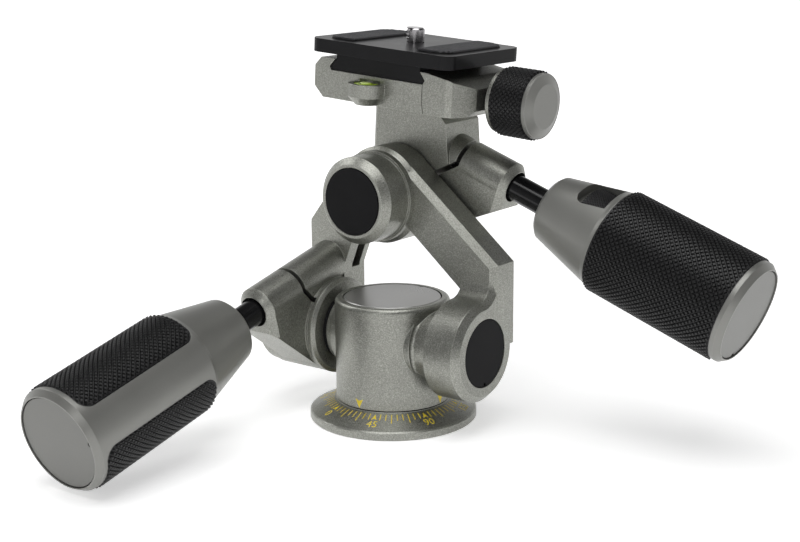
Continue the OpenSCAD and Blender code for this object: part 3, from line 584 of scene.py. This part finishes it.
def on_cone(turn, across, down):
    """Point above the base's cone: turn from the scale's zero, then across the arc and down the slope."""
    fall = math.atan2(CONE_TOP - RIM_TOP, BASE_RADIUS - HOUSING_RADIUS)
    out = HOUSING_RADIUS + down * math.cos(fall) + INK_LIFT * math.sin(fall)
    angle = math.radians(SCALE_ZERO) + turn + across / (HOUSING_RADIUS + down)
    height = CONE_TOP - down * math.sin(fall) + INK_LIFT * math.cos(fall)
    return Vector((out * math.cos(angle), out * math.sin(angle), height))


class HEAD_OT_scale(bpy.types.Operator):
    """Print the pan scale on the base and its pointers on the housing"""
    bl_idname = "head.scale"
    bl_label = "Pan Scale"

    def execute(self, context):
        sizes = context.scene.head_sizes
        ink = print_ink("scale_ink", context.scene.head_colours.ink)
        marks = bmesh.new()
        for step in range(72):
            half, far = sizes.tick / MM / 2, LONG_TICK if step % 3 == 0 else SHORT_TICK
            shape = [(-half, TICK_START), (half, TICK_START), (half, far), (-half, far)]
            if step % 9 == 0:
                shape = MARK_SHAPE
            print_face(marks, [on_cone(math.radians(5 * step), x, y) for x, y in shape], Vector((0, 0, 1)))
        for step in range(8):
            self.numeral(marks, str(45 * step), math.radians(45 * step), sizes.numeral / MM)
        bmesh.ops.solidify(marks, geom=marks.faces[:], thickness=INK_DEPTH)
        piece("pan_scale", marks, ink, "base")
        arrows = bmesh.new()
        out = HOUSING_RADIUS + POINTER_LIFT
        for middle in POINTERS:
            points = []
            for x, z in POINTER_SHAPE:
                angle = math.radians(middle) + x / out
                points.append((out * math.cos(angle), out * math.sin(angle), z))
            facing = Vector((math.cos(math.radians(middle)), math.sin(math.radians(middle)), 0))
            print_face(arrows, points, facing)
        bmesh.ops.solidify(arrows, geom=arrows.faces[:], thickness=POINTER_DEPTH)
        piece("pan_pointers", arrows, ink, "pan_body")
        return {"FINISHED"}

    def numeral(self, marks, text, turn, height):
        """Lay a numeral on the cone, its top towards the housing."""
        curve = bpy.data.curves.new("numeral", "FONT")
        curve.body, curve.align_x = text, "CENTER"
        curve.size, curve.resolution_u = height * FONT_PER_HEIGHT, 3
        made = bpy.data.objects.new("numeral", curve)
        mesh = bpy.data.meshes.new_from_object(made)
        first_vert, first_face = len(marks.verts), len(marks.faces)
        marks.from_mesh(mesh)
        marks.verts.ensure_lookup_table()
        marks.faces.ensure_lookup_table()
        for vert in marks.verts[first_vert:]:
            vert.co = on_cone(turn, vert.co.x * NUMERAL_NARROW, NUMERAL_FOOT - vert.co.y)
        for face in marks.faces[first_face:]:
            turn_outward(face, Vector((0, 0, 1)))
        bpy.data.objects.remove(made)
        bpy.data.meshes.remove(mesh)
        bpy.data.curves.remove(curve)


class HEAD_OT_camera_screw(bpy.types.Operator):
    """Cut the inch thread of the camera screw"""
    bl_idname = "head.camera_screw"
    bl_label = "Camera Screw"

    def execute(self, context):
        turns, steps = 6, 28
        mesh = bmesh.new()
        profile = [(THREAD_ROOT, 0.0), (THREAD_CREST, 0.42), (THREAD_CREST, 0.58), (THREAD_ROOT, 1.0)]
        line = [mesh.verts.new((radius, 0, (at - 1) * THREAD_PITCH)) for radius, at in profile]
        edges = [mesh.edges.new(pair) for pair in zip(line, line[1:])]
        bmesh.ops.spin(mesh, geom=line + edges, cent=(0, 0, 0), axis=(0, 0, 1), angle=turns * math.tau,
            steps=turns * steps, dvec=(0, 0, THREAD_PITCH / steps))
        bmesh.ops.remove_doubles(mesh, verts=mesh.verts, dist=1e-3)
        trim(mesh, (0, 0, THREAD_START), (0, 0, -1))
        trim(mesh, (0, 0, THREAD_END), (0, 0, 1))
        bmesh.ops.holes_fill(mesh, edges=[edge for edge in mesh.edges if edge.is_boundary])
        bmesh.ops.recalc_face_normals(mesh, faces=mesh.faces)
        low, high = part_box("camera_screw")
        middle = (low + high) / 2
        level = platform_matrix()
        foot = Vector(((level.inverted() @ middle).x, middle.y, PLATE_TOP * MM))
        set_at(mesh, level @ Matrix.Translation(foot))
        chrome = bare_metal("chrome", (0.42, 0.41, 0.42), 0.2)
        piece("camera_screw_thread", mesh, chrome, "screw")
        dress(chrome, "camera_screw")
        return {"FINISHED"}


class HEAD_OT_plate(bpy.types.Operator):
    """Rib the plate's rubber pads"""
    bl_idname = "head.plate"
    bl_label = "Camera Plate"

    def execute(self, context):
        sizes = context.scene.head_sizes
        skin = rubber("pad_rubber", shade(context.scene.head_colours.rubber, 7.0), 0.5)
        level = platform_matrix()
        back = level.inverted()
        for side, node in ((1, "pad_left"), (-1, "pad_right")):
            points = [back @ vert.co / MM for vert in frame["nodes"][node].data.vertices]
            low = Vector(min(p[k] for p in points) for k in range(3))
            high = Vector(max(p[k] for p in points) for k in range(3))
            width, length = high.x - low.x - 2 * RIB_MARGIN, high.y - low.y - 2 * RIB_MARGIN
            count = 4 * round(length / (sizes.rib / MM))
            mesh = bmesh.new()
            bmesh.ops.create_grid(mesh, x_segments=1, y_segments=count, size=0.5)
            bmesh.ops.scale(mesh, verts=mesh.verts, vec=(width, length, 1))
            for vert in mesh.verts:
                row = round((vert.co.y / length + 0.5) * count)
                vert.co.z = RIB_RISE if row % 4 < 2 else 0.0
            for end in (-1, 1):
                centre = (-side * (width / 2 - RIB_CORNER), end * (length / 2 - RIB_CORNER), 0)
                round_corner(mesh, centre, RIB_CORNER, -side, end)
            bmesh.ops.translate(mesh, verts=mesh.verts, vec=(0, 0, RIB_LIFT))
            skirt(mesh, RIB_SKIRT)
            middle = (low + high) / 2
            bmesh.ops.translate(mesh, verts=mesh.verts, vec=(middle.x, middle.y, high.z))
            set_at(mesh, level)
            piece(node + "_ribs", mesh, skin, "plate")
        return {"FINISHED"}


class HEAD_OT_level(bpy.types.Operator):
    """Fill the spirit level and float its bubble"""
    bl_idname = "head.level"
    bl_label = "Spirit Level"

    def execute(self, context):
        low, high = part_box("level_vial")
        middle = (low + high) / 2
        top = Vector((middle.x, middle.y, high.z))
        liquid = level_liquid("level_liquid", context.scene.head_colours.liquid, top)
        dress(liquid, "level_vial")
        bubble = bmesh.new()
        bmesh.ops.create_uvsphere(bubble, u_segments=28, v_segments=14, radius=BUBBLE_RADIUS)
        bmesh.ops.scale(bubble, verts=bubble.verts, vec=(1, 1, BUBBLE_FLATNESS))
        turn = Matrix.Rotation(math.radians(LEAN), 4, "Y")
        set_at(bubble, Matrix.Translation(top + Vector(BUBBLE_PLACE) * MM) @ turn)
        clear = Finish("level_bubble", Coat_Weight=1.0)
        glow = clear.noise(1.0)
        tint = clear.mix((0.72, 0.9, 0.25), (0.85, 0.97, 0.45), glow)
        surface = clear.finish(tint, 0.08 + glow * 0.04, glow, 0.01)
        piece("level_bubble", bubble, surface, "platform", True)
        return {"FINISHED"}


class HEAD_OT_stage(bpy.types.Operator):
    """Set the paper floor, the soft lamps, the world and the camera"""
    bl_idname = "head.stage"
    bl_label = "Stage"

    def execute(self, context):
        scene = context.scene
        mesh = bmesh.new()
        bmesh.ops.create_grid(mesh, x_segments=2, y_segments=2, size=FLOOR_REACH)
        data = bpy.data.meshes.new("floor")
        mesh.to_mesh(data)
        mesh.free()
        data.materials.append(floor_paper("floor_paper", (0.93, 0.93, 0.93), 0.5))
        floor = bpy.data.objects.new("floor", data)
        scene.collection.objects.link(floor)
        for name, spot, size, power in LAMPS:
            lamp = bpy.data.lights.new(name, "AREA")
            lamp.shape, lamp.size, lamp.energy = "SQUARE", size, power
            made = bpy.data.objects.new(name, lamp)
            made.location = spot
            made.rotation_euler = (Vector(LAMP_AIM) - Vector(spot)).to_track_quat("-Z", "Y").to_euler()
            scene.collection.objects.link(made)
        self.world(scene)
        self.camera(scene)
        scene.view_settings.view_transform = "Standard"
        return {"FINISHED"}

    def world(self, scene):
        """A bright backdrop behind, dimmer sides and a dark ceiling; plain white for the camera."""
        world = bpy.data.worlds.new("studio")
        world.use_nodes = True
        tree = world.node_tree
        f = Nodes(tree)
        towards = f.node("TexCoord", out="Generated")
        behind = f.node("VectorMath", {"operation": "DOT_PRODUCT"}, out="Value", i0=towards, i1=BACKDROP)
        height = f.node("SeparateXYZ", out="Z", Vector=towards)
        ring = 1 - height.between(0.15, 0.65)
        level = 0.07 + ring * (0.18 + behind.between(-0.6, 0.9) * 0.7)
        path = f.node("LightPath", out="Is Camera Ray")
        level = level + (1 - level) * path
        tree.nodes["Background"].inputs["Color"].default_value = (1, 1, 1, 1)
        feed(tree, tree.nodes["Background"].inputs["Strength"], level)
        scene.world = world

    def camera(self, scene):
        """Camera at the photograph's angle, with 1500 pixels of focal length on an image 800 pixels wide."""
        azimuth, elevation, roll = (math.radians(a) for a in (AZIMUTH, ELEVATION, ROLL))
        back = Vector((math.sin(azimuth) * math.cos(elevation), -math.cos(azimuth) * math.cos(elevation),
            math.sin(elevation)))
        right = Vector((0, 0, 1)).cross(back).normalized()
        up = back.cross(right)
        x = math.cos(roll) * right + math.sin(roll) * up
        y = math.cos(roll) * up - math.sin(roll) * right
        data = bpy.data.cameras.new("camera")
        data.sensor_width = 36.0
        data.lens = data.sensor_width * FOCAL_PIXELS / IMAGE_WIDTH
        data.clip_start, data.clip_end = 0.05, 20
        made = bpy.data.objects.new("camera", data)
        scene.collection.objects.link(made)
        spot = Vector(CAMERA_AIM) + back * CAMERA_RANGE + x * CAMERA_SHIFT[0] + y * CAMERA_SHIFT[1]
        made.matrix_world = axes(x, y, back, spot * MM)
        scene.camera = made


OPERATORS = (HEAD_OT_stage, HEAD_OT_castings, HEAD_OT_metalwork, HEAD_OT_grips, HEAD_OT_knobs, HEAD_OT_scale,
    HEAD_OT_camera_screw, HEAD_OT_plate, HEAD_OT_level)


class HEAD_PT_looks(bpy.types.Panel):
    """Steps and settings of the head's looks"""
    bl_label = "Tilt Head"
    bl_space_type = "VIEW_3D"
    bl_region_type = "UI"
    bl_category = "Tilt Head"

    def draw(self, context):
        for group in (context.scene.head_sizes, context.scene.head_colours):
            for name in group.__annotations__:
                self.layout.prop(group, name)
        for operator in OPERATORS:
            self.layout.operator(operator.bl_idname)


CLASSES = (HeadSizes, HeadColours, *OPERATORS, HEAD_PT_looks)


def register():
    for made in CLASSES:
        bpy.utils.register_class(made)
    bpy.types.Scene.head_sizes = PointerProperty(type=HeadSizes)
    bpy.types.Scene.head_colours = PointerProperty(type=HeadColours)


def unregister():
    del bpy.types.Scene.head_colours
    del bpy.types.Scene.head_sizes
    for made in reversed(CLASSES):
        bpy.utils.unregister_class(made)


def main():
    register()
    for operator in OPERATORS:
        group, name = operator.bl_idname.split(".")
        getattr(getattr(bpy.ops, group), name)()


if __name__ == "__main__":
    main()
